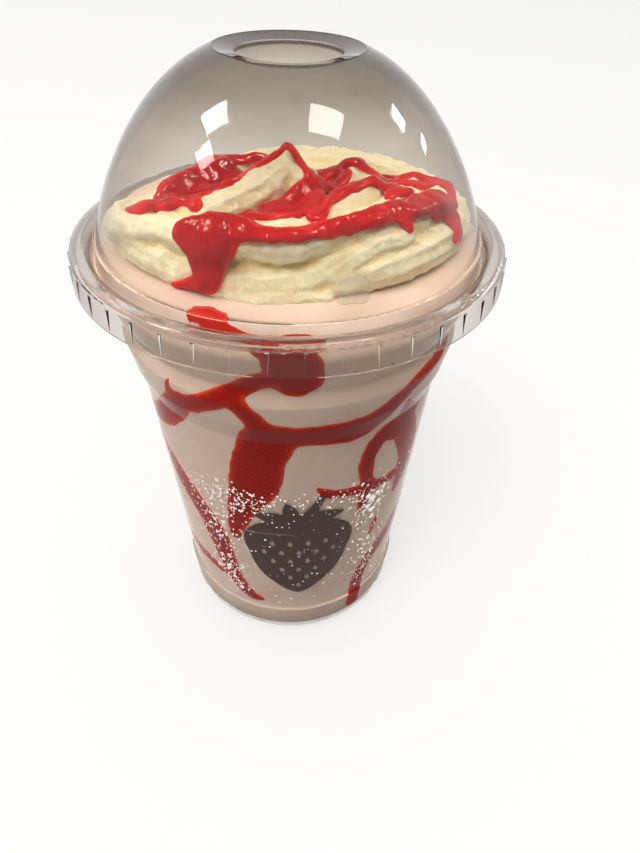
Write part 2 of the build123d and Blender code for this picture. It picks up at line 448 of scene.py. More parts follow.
def make_milk():
    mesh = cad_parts["milkshake"].data.copy()
    mesh.name = "milk"
    mesh.materials.clear()
    mesh.materials.append(milk_mat)
    obj = bpy.data.objects.new("milk", mesh)
    collection.objects.link(obj)
    work = bmesh.new()
    work.from_mesh(mesh)
    bmesh.ops.remove_doubles(work, verts=work.verts, dist=0.01 * MM)
    top = (FLANGE + LEVEL) * MM
    lid = [f for f in work.faces if all(abs(v.co.z - top) < 0.02 * MM for v in f.verts)]
    bmesh.ops.delete(work, geom=lid, context="FACES")
    work.normal_update()
    for v in work.verts:
        v.co = v.co + v.normal * BITE * MM
    rim = [v for v in work.verts if any(e.is_boundary for e in v.link_edges)]
    rim.sort(key=lambda v: math.atan2(v.co.y, v.co.x))
    for v in rim:
        v.co.z = top
    edge = np.mean([v.co.xy.length for v in rim]) / MM
    before = rim
    for radius in (edge - 0.3, edge - 0.7, edge - 1.2, edge - 2, edge - 3.5, 38, 35, 31, 26, 18, 8):
        ring = []
        for v in rim:
            a = math.atan2(v.co.y, v.co.x)
            wave = 0.12 * math.sin(3 * a + radius / 3) + 0.08 * math.sin(5 * a - radius / 2)
            climb = 0.5 * math.exp(-(edge - radius) / 0.7)
            fade = min(1, (edge - radius) / 4)
            height = top + (wave * fade + climb - 0.5) * MM
            ring.append(work.verts.new((radius * math.cos(a) * MM, radius * math.sin(a) * MM, height)))
        for n in range(len(rim)):
            m = (n + 1) % len(rim)
            work.faces.new((before[n], before[m], ring[m], ring[n]))
        before = ring
    middle = work.verts.new((0, 0, top - 0.5 * MM))
    for n in range(len(rim)):
        work.faces.new((before[n], before[(n + 1) % len(rim)], middle))
    bmesh.ops.recalc_face_normals(work, faces=work.faces)
    work.to_mesh(mesh)
    work.free()
    mesh.shade_smooth()
    return obj


milk = make_milk()
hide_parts("milkshake")
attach(milk, "root")

# ---------------------------------------------------------------- whipped cream
# Each rope: angle, outer radius, height of its middle, half thickness.
ROPES_ROUND = {
    "front_low": [(-48, 37.6, 2.2, 3.0), (-34, 36.4, 2.2, 3.1), (-20, 35.3, 2.3, 3.2), (-6, 35.0, 2.4, 3.2),
                  (4, 34.9, 2.7, 3.2), (11, 34.2, 4.2, 3.2), (19, 33.6, 6.4, 3.1), (28, 31.9, 8.4, 3.2)],
    "front_ledge": [(-26, 36.4, 0.3, 1.4), (-10, 35.9, 0.4, 1.6), (2, 35.8, 0.4, 1.6), (12, 36.0, 0.3, 1.3)],
    "front_high": [(-58, 33.5, 6.8, 3.4), (-42, 35.2, 8.4, 3.4), (-26, 33.9, 9.0, 3.5), (-12, 33.3, 9.1, 3.5),
                   (0, 33.4, 9.2, 3.5), (10, 32.6, 10.0, 3.2), (22, 31.8, 10.4, 3.2), (34, 32.6, 10.0, 3.4),
                   (46, 33.8, 9.4, 3.6), (58, 34.6, 8.8, 3.7), (72, 35.8, 8.2, 3.8), (90, 37.2, 7.0, 3.7),
                   (105, 37.2, 5.9, 3.5)],
    "front_swirl": [(14, 34.6, 3.4, 2.4), (22, 34.8, 6.4, 2.4), (31, 34.6, 8.0, 2.6), (42, 35.6, 8.2, 2.8)],
    "right_low": [(12, 34.6, 1.4, 2.0), (19, 35.8, 2.4, 3.2), (30, 36.8, 3.2, 4.1), (42, 37.4, 3.5, 4.3),
                  (55, 38.6, 3.6, 4.4), (70, 40.2, 3.8, 4.4), (88, 41.3, 3.9, 4.4), (108, 41.4, 3.4, 4.2)],
    "left_low": [(-108, 34.0, 0.8, 2.8), (-96, 38.0, 1.4, 3.0), (-82, 40.8, 2.2, 3.6), (-64, 39.9, 2.7, 4.0),
                 (-50, 38.8, 2.6, 3.6), (-38, 37.6, 2.0, 2.8)],
    "left_high": [(-108, 33.0, 1.2, 2.8), (-98, 36.0, 2.4, 3.0), (-86, 39.4, 3.8, 3.0), (-74, 41.0, 4.9, 3.4),
                  (-62, 40.4, 5.7, 3.7), (-53, 36.8, 7.0, 3.6), (-46, 32.5, 7.8, 3.4)],
    "left_lobe": [(-104, 31.0, 1.6, 2.8), (-92, 34.0, 3.2, 2.8), (-82, 37.6, 4.8, 2.9), (-72, 38.4, 6.0, 2.7),
                  (-66, 34.8, 7.0, 2.6)],
    "back_low": [(104, 41.4, 3.0, 4.0), (135, 41.4, 2.6, 3.8), (165, 41.0, 2.3, 3.6), (190, 39.4, 2.1, 3.4),
                 (208, 36.6, 1.8, 3.0), (224, 33.0, 1.6, 3.0), (240, 31.0, 1.6, 3.0), (256, 32.6, 1.6, 2.8)],
    "back_high": [(98, 37.4, 6.0, 3.7), (120, 36.0, 5.7, 3.7), (145, 33.6, 5.4, 3.7), (175, 32.4, 5.2, 3.7),
                  (205, 30.6, 4.8, 3.5), (228, 28.8, 3.8, 3.4), (246, 29.2, 2.4, 3.2)],
    "back_inner": [(82, 33.5, 7.3, 3.8), (105, 31.5, 7.2, 3.9), (125, 27.0, 7.6, 4.0),
                   (150, 22.0, 7.8, 4.0), (185, 20.0, 7.8, 4.0), (220, 19.0, 8.2, 3.8),
                   (245, 20.6, 8.0, 3.6), (262, 25.0, 6.9, 3.4)],
}
# Each rope: x, y, height of its middle, half thickness.
ROPES_FREE = {
    "ridge": [(-24, -13, 6.6, 3.4), (-19, -14.5, 7.6, 3.6), (-14, -13.6, 9.2, 3.9),
              (-9, -11.6, 10.6, 4.1), (-5, -9.2, 12.4, 4.0), (-2.4, -7.4, 14.4, 3.4),
              (-1.0, -6.2, 16.6, 2.4), (-0.4, -5.8, 18.4, 1.3)],
    "ridge_right": [(-2, -6.6, 14.0, 3.4), (1.2, -7.4, 13.4, 3.4), (2.9, -9.2, 11.0, 3.6),
                    (3.8, -12, 8.6, 3.4)],
    "below_face": [(-14, -23.4, 7.6, 3.2), (-7, -25.2, 8.1, 3.4), (0, -24.6, 8.6, 3.4), (4.6, -21, 8.8, 3.2),
                   (5.5, -15, 8.4, 3.2)],
    "right_one": [(7, -23, 8.4, 3.2), (9.6, -18, 9.6, 3.6), (13.4, -13.6, 9.9, 3.8), (16.5, -8, 9.6, 4.0),
                  (15, 0, 9.8, 4.0)],
    "right_two": [(11, -25, 8.4, 3.4), (16.5, -20, 9.0, 3.8), (21.4, -14, 9.0, 4.0), (25.6, -6.5, 8.4, 4.2),
                  (27, 3, 7.4, 4.2), (23, 12, 6.6, 4.2)],
    "left_inner": [(-30, -9, 5.6, 3.2), (-26, -4, 7.4, 3.6), (-21.6, 1.5, 8.6, 3.8), (-16, 5, 9.2, 3.8)],
}
RIBS, RIB_DEPTH, RIB_TWIST = 10, 0.075, 0.03


def make_cream():
    soup = Soup()
    for rope in ROPES_ROUND.values():
        rows = [(*on_circle(a, outer - half, z), half) for a, outer, z, half in rope]
        soup.rope(rows, RIBS, RIB_DEPTH, RIB_TWIST)
    for rope in ROPES_FREE.values():
        soup.rope([(x, y, FLANGE + z, half) for x, y, z, half in rope], RIBS, RIB_DEPTH, RIB_TWIST)
    sides = 48
    angles = np.linspace(0, 360, sides, endpoint=False)
    core = [on_circle(0, 0, -0.4)]
    for share, height in ((0.98, -0.4), (0.96, 2.0), (0.90, 4.6), (0.78, 7.4), (0.56, 9.6), (0.3, 10.6)):
        for a in angles:
            front = ((1 + math.cos(math.radians(a))) / 2) ** 2
            low_side = math.exp(-(((a - 252) / 34) ** 2))
            reach = share * (37 - 7.5 * front - 5 * low_side * share)
            core.append(on_circle(a, reach, height * (1 - 0.25 * low_side)))
    core.append(on_circle(0, 0, 11.3))
    faces = []
    for s in range(sides):
        t = (s + 1) % sides
        faces.append((0, 1 + t, 1 + s))
        for r in range(5):
            i = 1 + r * sides
            faces.append((i + s, i + t, i + sides + t, i + sides + s))
        faces.append((1 + 5 * sides + s, 1 + 5 * sides + t, len(core) - 1))
    soup.add(core, faces)
    obj = soup.fuse("cream", 0.55, cream_mat)
    roughen(obj.data, [(9, 0.8), (3.2, 0.45), (1.3, 0.3)])
    points = points_of(obj.data) / MM
    radius = np.hypot(points[:, 0], points[:, 1])
    limit = dome_radius(points[:, 2] - FLANGE) - 0.2
    squeeze = np.minimum(1, limit / np.maximum(radius, 1e-6))
    points[:, :2] *= squeeze[:, None]
    points[:, 2] = np.maximum(points[:, 2], FLANGE - 0.3)
    put_points(obj.data, points * MM)
    normals = normals_of(obj.data)
    smooth = obj.data.copy()
    relax(smooth, 30)
    hollow = ((points_of(smooth) / MM - points) * normals).sum(axis=1)
    bpy.data.meshes.remove(smooth)
    # Here depth is how hollow each point lies, from which the cream's material paints shade into the creases.
    store_depth(obj.data, np.clip(0.5 + hollow / 1.2, 0, 1))
    return obj


cream = make_cream()
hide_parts("whipped_cream")
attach(cream, "root")

# ---------------------------------------------------------------- syrup on the cream
# Each strand: x, y, height, half width, half thickness.
STRANDS = {
    "left": [(-33.0, -15.0, 8.0, 1.3, 0.8), (-31.4, -13.6, 8.6, 2.0, 1.0), (-29.2, -12.4, 9.5, 2.6, 1.1),
             (-26.4, -11.4, 10, 3.0, 1.2)],
    "pool_back": [(-26.6, -6.6, 10.4, 2.2, 1.0), (-21.4, -2.4, 12, 2.8, 1.1), (-15.8, 0.2, 13, 3.0, 1.1),
                  (-11, -0.6, 13.8, 2.8, 1.1), (-7.6, -2.4, 14.4, 2.2, 1.0)],
    "pool": [(-26.6, -9.4, 10.2, 2.8, 1.1), (-21.5, -6.2, 11.6, 3.2, 1.2), (-16.4, -3.6, 12.6, 3.2, 1.2),
             (-11.5, -3.4, 13.4, 2.8, 1.1), (-7.4, -4.8, 14.4, 2.2, 1.0)],
    "pool_front": [(-25, -13, 9.8, 2.6, 1.1), (-21, -10.8, 11, 3.0, 1.2), (-17, -8.0, 12.2, 2.8, 1.1),
                   (-13, -6.6, 13, 2.4, 1.0), (-9, -7.0, 14, 2.0, 1.0)],
    "pool_drop": [(-20.6, -12.6, 10.8, 2.4, 1.1), (-19.0, -15.4, 10.2, 1.7, 0.9)],
    "back_left": [(-19.4, 2.4, 12, 2.0, 0.9), (-16.3, 5.6, 12.6, 2.0, 0.9), (-12.6, 8, 13, 1.8, 0.9),
                  (-8.5, 9.2, 13.4, 1.7, 0.9), (-4, 8.6, 13.8, 1.7, 0.9), (-1.6, 5.0, 14.6, 1.6, 0.9),
                  (-0.8, 0.5, 15.4, 1.4, 0.9)],
    "peak": [(-10, -7.4, 13.6, 1.8, 1.0), (-6.2, -6.6, 15.4, 1.6, 1.0), (-3, -5.6, 18, 1.4, 0.9),
             (-0.6, -5.4, 20, 1.3, 0.9), (1.8, -7.0, 18.4, 1.2, 0.9), (3.6, -9.2, 15.6, 1.4, 0.9),
             (4.6, -13.4, 13, 1.7, 1.0), (5.0, -18, 12.6, 2.2, 1.0), (5.2, -22.4, 12.4, 2.2, 1.0)],
    "under_face": [(4.0, -11.6, 14, 2.2, 1.0), (1.6, -14.6, 13.2, 2.8, 1.1), (-2.2, -17.4, 12.8, 3.1, 1.2),
                   (-6.2, -19.8, 12.4, 3.0, 1.2), (-9.4, -22.4, 12, 3.0, 1.2), (-11.6, -25.2, 12, 3.2, 1.2),
                   (-13.4, -27.8, 12, 3.2, 1.2)],
    "under_face_low": [(2.2, -17.4, 12.8, 1.9, 1.0), (-2.6, -20.2, 12.4, 2.4, 1.1),
                       (-6.4, -22.8, 12.2, 2.2, 1.0)],
    "long": [(-20.2, -28.8, 11, 2.6, 1.2), (-17.4, -29.4, 12, 3.2, 1.3), (-12.7, -28.8, 12, 3.2, 1.3),
             (-8.0, -30.2, 12.2, 2.5, 1.2), (-3.2, -31.8, 12.3, 2.1, 1.1), (1.2, -32, 12.4, 2.0, 1.1),
             (5.4, -30.8, 12.5, 2.0, 1.1), (10.3, -28.8, 12.7, 2.2, 1.1), (14.6, -26.6, 12.8, 2.4, 1.2),
             (19.2, -23.4, 12.6, 2.8, 1.2), (23.4, -20.6, 12.4, 3.2, 1.3), (27.4, -17.2, 12, 3.4, 1.3),
             (31, -14.2, 11.4, 3.2, 1.3), (33.2, -14.4, 9.4, 2.6, 1.2), (34.0, -15.8, 7, 2.3, 1.1),
             (34.2, -17.4, 5.4, 1.6, 1.0)],
    "long_drip_one": [(20.6, -22.6, 12.2, 2.3, 1.1), (22.4, -23.4, 10.8, 1.9, 1.0),
                      (22.8, -24.2, 9.6, 1.2, 0.9)],
    "long_drip_two": [(28, -16, 11.8, 2.4, 1.1), (29.4, -17, 10.2, 1.8, 1.0)],
    "blob": [(-15.4, -29.4, 11.4, 4.4, 1.4), (-15.4, -31.2, 9.4, 4.8, 1.6), (-15.6, -32.4, 7.4, 4.2, 1.7),
             (-16, -33.2, 5.4, 3.2, 1.6), (-16.2, -33.8, 3.4, 2.6, 1.4), (-15.9, -34.2, 2.4, 2.3, 1.2)],
    "blob_left": [(-18.6, -29.2, 10.4, 2.6, 1.2), (-19.4, -30.6, 8.4, 1.9, 1.1)],
    "blob_right": [(-11, -29.6, 11, 2.4, 1.2), (-11.8, -31.2, 8.8, 1.9, 1.1)],
    "blob_foot": [(-17.6, -33.4, 2.4, 2.0, 1.0), (-20.4, -33.4, 1.2, 1.6, 0.8), (-23.4, -33, 1.0, 1.2, 0.6)],
    "arc_one": [(4.3, -6.6, 14.4, 2.0, 1.0), (5.8, -1.0, 14, 2.6, 1.1), (8.8, 2.2, 14, 3.0, 1.1),
                (12.4, 3.2, 13.8, 2.7, 1.1), (15.8, 0.6, 13.4, 2.5, 1.1), (18.2, -4.0, 13, 2.2, 1.1),
                (20.4, -8, 12.7, 2.0, 1.0), (22.0, -12, 12.4, 2.0, 1.0), (20.6, -15, 12.4, 1.4, 0.9)],
    "arc_two": [(4.7, -18.6, 13, 2.2, 1.0), (5.7, -13.4, 13.6, 2.3, 1.1), (8.2, -8.2, 14, 2.1, 1.1),
                (11.6, -3.0, 13.9, 1.9, 1.0)],
    "arc_three": [(5.3, -23, 12.6, 2.0, 1.0), (7.4, -18.4, 13, 1.9, 1.0), (10.8, -14.8, 13.2, 1.8, 1.0),
                  (14.2, -11.2, 13.2, 1.9, 1.0), (17.6, -8.2, 13, 1.9, 1.0)],
    "right_top": [(17.2, 3.4, 13, 1.5, 0.9), (20.4, 4.6, 12.8, 1.5, 0.9), (22.2, 1.0, 12.6, 1.4, 0.9),
                  (23.8, -1.6, 12.4, 1.4, 0.9), (27.7, -1.2, 12, 1.4, 1.0), (31.7, -1.7, 11.6, 1.5, 1.0),
                  (35.1, -2.8, 11, 1.7, 1.0), (36.2, -5.6, 10, 1.7, 1.0), (35.6, -8.8, 9, 1.3, 0.9)],
    "right_low": [(19.6, -4.6, 12.9, 1.5, 0.9), (22.4, -7.0, 12.6, 1.4, 0.9), (25.8, -7.4, 12.2, 1.4, 0.9),
                  (29.8, -5.4, 11.8, 1.4, 0.9), (33, -3.2, 11.4, 1.4, 0.9)],
    "right_cross": [(18.8, -3.6, 13, 1.8, 1.0), (20, -8.8, 12.8, 1.8, 1.0), (21.8, -12.6, 12.6, 1.7, 1.0),
                    (24.6, -12.2, 12.2, 1.5, 1.0)],
}


def make_drizzle():
    tree = BVHTree.FromPolygons(
        [Vector(p) for p in points_of(cream.data)], [tuple(p.vertices) for p in cream.data.polygons]
    )
    soup = Soup()
    for strand in STRANDS.values():
        path = smooth_rows([(x, y, FLANGE + z, w, t) for x, y, z, w, t in strand], 0.7)
        rests, faces_up = [], []
        for row in path:
            place, normal, _, _ = tree.find_nearest(Vector(row[:3] * MM))
            rests.append(np.array(place) / MM)
            faces_up.append(np.array(normal))
        rests, faces_up = np.array(rests), np.array(faces_up)
        for _ in range(3):
            rests[1:-1] = (rests[:-2] + 2 * rests[1:-1] + rests[2:]) / 4
            faces_up[1:-1] = (faces_up[:-2] + 2 * faces_up[1:-1] + faces_up[2:]) / 4
        for rest, normal, row in zip(rests, faces_up, path):
            normal = normal / np.linalg.norm(normal)
            one = np.cross(normal, [0.3, 0.2, 1.0])
            one /= np.linalg.norm(one)
            two = np.cross(normal, one)
            soup.blob(rest + normal * row[4] * 0.35, [one * row[3], two * row[3], normal * row[4]])
    obj = soup.fuse("syrup_drizzle", 0.42, syrup_mat)
    relax(obj.data, 6)
    roughen(obj.data, [(5, 0.3), (2.2, 0.2), (1.1, 0.07)])
    points = points_of(obj.data)
    limit = (dome_radius(points[:, 2] / MM - FLANGE) - 0.1) * MM
    radius = np.hypot(points[:, 0], points[:, 1])
    points[:, :2] *= np.minimum(1, limit / np.maximum(radius, 1e-9))[:, None]
    put_points(obj.data, points)
    over = np.array([tree.find_nearest(Vector(p))[3] for p in points]) / MM
    store_depth(obj.data, np.clip(over / 1.7, 0, 1))
    return obj


drizzle = make_drizzle()
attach(drizzle, "root")


# ---------------------------------------------------------------- thin patches that follow a round wall
class Patch:
    """An outline on a round wall, as a field that is below 0 inside it.

    Places are an angle in degrees and a height in mm.
    """

    def __init__(self, angles, heights, cell, scale_radius):
        self.scale = math.radians(1) * scale_radius
        self.u = np.arange(angles[0] * self.scale, angles[1] * self.scale, cell)
        self.v = np.arange(heights[0], heights[1], cell)
        self.cell = cell
        self.grid_u, self.grid_v = np.meshgrid(self.u, self.v, indexing="ij")
        self.field = np.full(self.grid_u.shape, 50.0)

    def stroke_field(self, rows):
        """Distance to a stroke's edge. Rows are angle, height, half width."""
        flat = [(a * self.scale, z, 0.0, w) for a, z, w in rows]
        path = smooth_rows(flat, 0.8) if len(flat) > 1 else np.array(flat)
        found = np.full(self.grid_u.shape, 50.0)
        for u, v, _, w in path:
            i = slice(*np.searchsorted(self.u, (u - w - 6, u + w + 6)))
            j = slice(*np.searchsorted(self.v, (v - w - 6, v + w + 6)))
            near = np.hypot(self.grid_u[i, j] - u, self.grid_v[i, j] - v) - w
            found[i, j] = np.minimum(found[i, j], near)
        return found

    def add(self, rows, blend=1.2):
        new = self.stroke_field(rows)
        gap = np.clip(0.5 + 0.5 * (new - self.field) / blend, 0, 1)
        self.field = new * (1 - gap) + self.field * gap - blend * gap * (1 - gap)

    def cut(self, rows):
        self.field = np.maximum(self.field, -self.stroke_field(rows))

    def ripple(self, size, height):
        wave = [
            noise.noise(Vector((u / size, v / size, 0.7)))
            for u, v in zip(self.grid_u.ravel(), self.grid_v.ravel())
        ]
        self.field = self.field + height * np.array(wave).reshape(self.field.shape)

    def build(self, name, radius_at, outer, inner, mat):
        """A closed sheet between two offsets from the wall."""
        f = self.field
        middle = (f[:-1, :-1] + f[1:, :-1] + f[:-1, 1:] + f[1:, 1:]) / 4
        kept = middle < 0
        count = np.zeros(f.shape, int)
        for di in (0, 1):
            for dj in (0, 1):
                count[di : di + kept.shape[0], dj : dj + kept.shape[1]] += kept
        slope_u, slope_v = np.gradient(f, self.cell)
        steep = np.maximum(slope_u**2 + slope_v**2, 0.25)
        edge = (count > 0) & (count < 4)
        move = np.where(edge, np.clip(-f, -0.8 * self.cell, 0.8 * self.cell), 0)
        u = self.grid_u + move * slope_u / steep
        v = self.grid_v + move * slope_v / steep
        index = -np.ones(f.shape, int)
        used = np.argwhere(count > 0)
        index[count > 0] = np.arange(len(used))
        uu, vv = u[count > 0], v[count > 0]
        total = len(uu)
        angle = uu / self.scale * math.pi / 180
        points = []
        for offset in (outer, inner):
            r = radius_at(vv) + offset
            points.append(np.column_stack([r * np.sin(angle), -r * np.cos(angle), FLANGE + vv]))
        faces = []
        sides = {}
        for i, j in np.argwhere(kept):
            a, b, c, d = index[i, j], index[i + 1, j], index[i + 1, j + 1], index[i, j + 1]
            faces.append((a, b, c, d))
            faces.append((a + total, d + total, c + total, b + total))
            for one, two in ((a, b), (b, c), (c, d), (d, a)):
                if (two, one) in sides:
                    del sides[(two, one)]
                else:
                    sides[(one, two)] = True
        for one, two in sides:
            faces.append((two, one, one + total, two + total))
        obj = make_piece(name, np.vstack(points), faces, mat)
        inside = np.clip(-f[count > 0] / 2.0, 0, 1)
        store_depth(obj.data, np.concatenate([inside, inside]))
        return obj


# Each stroke: angle, height, half width.
WALL_STROKES = {
    "from_rim": [(-3, -2.6, 4.4), (-1.0, -5, 4.6), (0.4, -9, 5.2), (0.8, -12.4, 5.3), (1.6, -14, 4.7)],
    "left_branch": [(-7, -13.4, 2.6), (-12, -15.6, 2.4), (-18, -19.1, 2.3), (-25, -22.6, 2.4),
                    (-32, -25.2, 2.6), (-38, -27, 3.2), (-45, -32.5, 3.8), (-54, -38.4, 3.4),
                    (-63, -41.8, 2.8), (-76, -45, 2.2)],
    "left_spike": [(-40.5, -24.5, 1.3), (-40.6, -22.4, 0.7), (-39.8, -20.6, 0.25)],
    "link": [(-17, -20.8, 2.0), (-13.4, -24, 2.3), (-10.6, -27.2, 2.6), (-9, -30, 3.6)],
    "trunk": [(-8, -33.4, 6.2), (-12, -41.6, 6.3), (-14.3, -50, 6.4), (-17.7, -55.6, 5.0), (-20.4, -61, 4.1),
              (-24, -69, 2.5), (-25.5, -74, 1.6)],
    "arm": [(-2, -31.4, 3.9), (6, -31.3, 3.8), (13.5, -31.4, 4.1), (21, -31.6, 4.3), (28, -30.2, 3.8),
            (34, -26.8, 3.0), (40.5, -23.6, 2.3), (48, -21.6, 1.8), (56, -19.8, 1.7), (62, -17, 2.2),
            (66, -13, 2.8), (70, -8.5, 3.0), (72, -2, 3.0)],
    "ring_tip": [(42.2, -28.6, 0.3), (44, -32, 2.0), (45.5, -36, 4.0)],
    "ring_left": [(44, -38.5, 4.2), (37, -37.8, 3.4), (31.6, -40.6, 2.7), (29.2, -46, 2.4), (30.2, -51, 2.0),
                  (31.6, -55.6, 2.2)],
    "ring_right": [(47, -39.5, 4.4), (51.4, -45, 4.4), (55.4, -51.5, 4.6), (55.6, -57.6, 4.6),
                   (53.8, -62.6, 3.0), (51.6, -66.6, 1.2)],
    "ring_floor": [(32, -56.6, 2.0), (38, -57.2, 1.8), (46, -57.8, 2.2)],
    "ring_branch": [(32, -56, 2.0), (26, -55.4, 1.7), (20, -54.8, 1.5), (14, -53.8, 1.7), (10.4, -51.4, 0.7)],
    "ring_drip": [(31, -58, 2.0), (30.6, -62, 1.5), (29.6, -65.4, 0.7)],
    "ring_thread": [(54.6, -33.9, 0.25), (53.2, -35.9, 0.8), (51.2, -38, 0.5)],
    "left_streak": [(-82, -46, 3.2), (-72, -51, 3.8), (-63, -56.6, 4.3), (-54, -61.6, 4.5),
                    (-47, -66.2, 4.4), (-41, -71.4, 4.3), (-36.6, -77.4, 4.4), (-34, -84.5, 4.0),
                    (-31.4, -93, 3.3), (-27, -100, 2.8), (-21, -104.6, 2.2), (-16, -105.4, 1.0)],
    "left_thread": [(-84, -88, 2.0), (-74, -92.4, 2.3), (-62, -95, 2.5), (-52, -95.6, 2.3), (-44, -96, 2.0),
                    (-38, -96.8, 2.2)],
    "right_streak": [(84, -70, 3.0), (74, -77.5, 3.6), (64, -83.6, 3.8), (55, -88.2, 3.7), (46.4, -91.8, 3.5),
                     (40, -96.4, 3.2), (37, -102, 2.9), (36.2, -109, 2.8), (35.6, -115, 2.8)],
    "short_one": [(41, -73.8, 0.9), (40.4, -77, 1.3), (38.8, -79.4, 0.8)],
    "dash": [(29.9, -13.2, 0.35), (28.3, -11.6, 0.15)],
}
# The same under the lid, where the milk stands against the lid's plug.
PLUG_STROKES = {
    "puddle": [(-25.5, 0.5, 0.6), (-23, 0.9, 1.0), (-19.4, 1.0, 1.1), (-16.6, 0.6, 0.9)],
    "streak_one": [(-25, -0.6, 0.5), (-21, -0.5, 0.9), (-17, -0.6, 0.9), (-14, -0.9, 0.5)],
    "streak_two": [(-28.5, -2.6, 0.3), (-23, -2.2, 0.6), (-17, -2.0, 0.8), (-12, -2.2, 0.7)],
    "to_wall": [(-14, -1.4, 0.8), (-11, -2.2, 1.0), (-7, -2.8, 1.0), (-2, -2.6, 1.3), (4, -2.7, 1.3),
                (7.4, -3.2, 0.8)],
}


def back_of(stroke):
    """The same streak carried round to the back and lowered a little."""
    return [(183 + 0.96 * a, np.clip(0.97 * z - 1.5, -113, -5), 0.95 * w) for a, z, w in stroke]


def make_wall_syrup():
    patch = Patch((-92, 272), (-117, PLUG_END), 0.42, 37)
    for stroke in WALL_STROKES.values():
        patch.add(stroke)
        patch.add(back_of(stroke))
    patch.ripple(2.6, 0.35)
    return patch.build("syrup_streaks", wall_radius, 0.3, -0.35, wall_syrup_mat)


streaks = make_wall_syrup()
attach(streaks, "root")


def plug_radius(height):
    """Radius of the inside of the lid's plug and of the dome's foot above it."""
    return np.interp(height, (0.5, 1.3, 3.5), (PLUG_RADIUS, 43.4, 43.3))


def make_plug_syrup():
    patch = Patch((-40, 20), (-3.8, 3.4), 0.3, 44)
    for stroke in PLUG_STROKES.values():
        patch.add(stroke)
    patch.ripple(2.0, 0.3)
    return patch.build("syrup_at_lid", plug_radius, 0.15, -0.5, lid_syrup_mat)


at_lid = make_plug_syrup()
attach(at_lid, "root")

# ---------------------------------------------------------------- print, a plain strawberry
PRINT_MIDDLE, PRINT_HEIGHT, PRINT_SCALE = 3, -79, 1.25
# Angle and height from the middle of the print, half width.
BERRY = [(0, 3.5, 11.5), (0, -2, 10.4), (0, -7, 7.4), (0, -11.5, 4.2), (0, -14.5, 1.6)]
BERRY_SHOULDERS = [[(-9, 4.5, 6.0), (0, 4.5, 6.4), (9, 4.5, 6.0)]]
LEAVES = [
    [(0, 9.5, 2.2), (-8, 13, 2.0), (-14, 13.6, 0.4)],
    [(0, 9.5, 2.2), (8, 13, 2.0), (14, 13.6, 0.4)],
    [(0, 9.5, 2.2), (-3, 15.5, 1.5), (-4, 18, 0.3)],
    [(0, 9.5, 2.2), (5, 16.5, 1.0), (7, 19.5, 0.7)],
    [(-2, 10, 2.0), (-11, 9.6, 1.7), (-17, 8.0, 0.4)],
    [(2, 10, 2.0), (11, 9.6, 1.7), (17, 8.0, 0.4)],
]


def moved_print(rows):
    return [
        (PRINT_SCALE * a + PRINT_MIDDLE, PRINT_SCALE * z + PRINT_HEIGHT, PRINT_SCALE * w) for a, z, w in rows
    ]


def outer_wall(height):
    """Radius of the cup's outside face."""
    return wall_radius(height) + CUP_WALL


def make_print():
    patch = Patch((-26, 34), (-102, -52), 0.32, 36)
    patch.add(moved_print(BERRY))
    for rows in BERRY_SHOULDERS:
        patch.add(moved_print(rows), 2.5)
    for rows in LEAVES:
        patch.cut(moved_print([(a, z, w + 0.7) for a, z, w in rows]))
    for rows in LEAVES:
        patch.add(moved_print(rows), 0.3)
    for row, count in enumerate((4, 5, 4, 3, 2, 1)):
        for n in range(count):
            a = (n - (count - 1) / 2) * 6.2
            z = 4.0 - row * 3.4
            patch.cut(moved_print([(a, z + 0.6, 0.34), (a, z - 0.4, 0.7)]))
    return patch.build("berry_print", outer_wall, 0.06, -0.05, print_mat)


berry_print = make_print()
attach(berry_print, "root")


# ---------------------------------------------------------------- smear of cream inside the dome
def make_smear():
    patch = Patch((4, 28), (1.5, 12), 0.3, 43)
    patch.add([(13.2, 4.8, 1.2), (13.4, 6.2, 1.6), (15.6, 6.8, 1.7), (17.8, 6.2, 1.6), (18.2, 4.6, 1.2)])
    patch.add([(15.6, 5.2, 1.8), (16.4, 4.8, 1.7)])
    patch.ripple(1.6, 0.4)
    return patch.build("cream_smear", dome_radius, 0.02, -0.25, smear_mat)


smear = make_smear()
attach(smear, "root")

# ---------------------------------------------------------------- small drops on the outside of the cup
DROP_POINTS, DROP_FACES = ball(4, 6)
# Where they gather: angle, height, spread in angle, spread in height, how thick.
DROP_SPOTS = [(-24, -58, 16, 5, 1.0), (-34, -74, 9, 12, 0.8), (-31, -94, 8, 9, 1.0), (18, -57, 22, 4, 0.45),
              (36, -64, 8, 8, 0.9), (38, -88, 8, 14, 0.5), (-58, -90, 12, 9, 0.25), (150, -66, 30, 8, 0.6),
              (215, -84, 22, 12, 0.6)]
# Larger flat ones: angle, height, half width.
BLOTCHES = [(33, -60.5, 1.0), (35.6, -62.2, 1.3), (38, -61, 0.9), (33.4, -65, 0.8), (36.4, -67.4, 1.2),
            (40, -65.4, 1.0), (37.2, -71, 0.9), (29.6, -59, 0.6), (41.4, -60, 0.7), (-31, -86, 0.6),
            (-35, -90, 0.7), (-29.6, -97, 0.8), (-32.4, -100.6, 0.6), (-26, -101.6, 0.6)]


def drop_chance(angle, height):
    found = 0.03
    for a, z, wide, tall, thick in DROP_SPOTS:
        turn = (angle - a + 180) % 360 - 180
        found = max(found, thick * math.exp(-((turn / wide) ** 2) - ((height - z) / tall) ** 2))
    return found


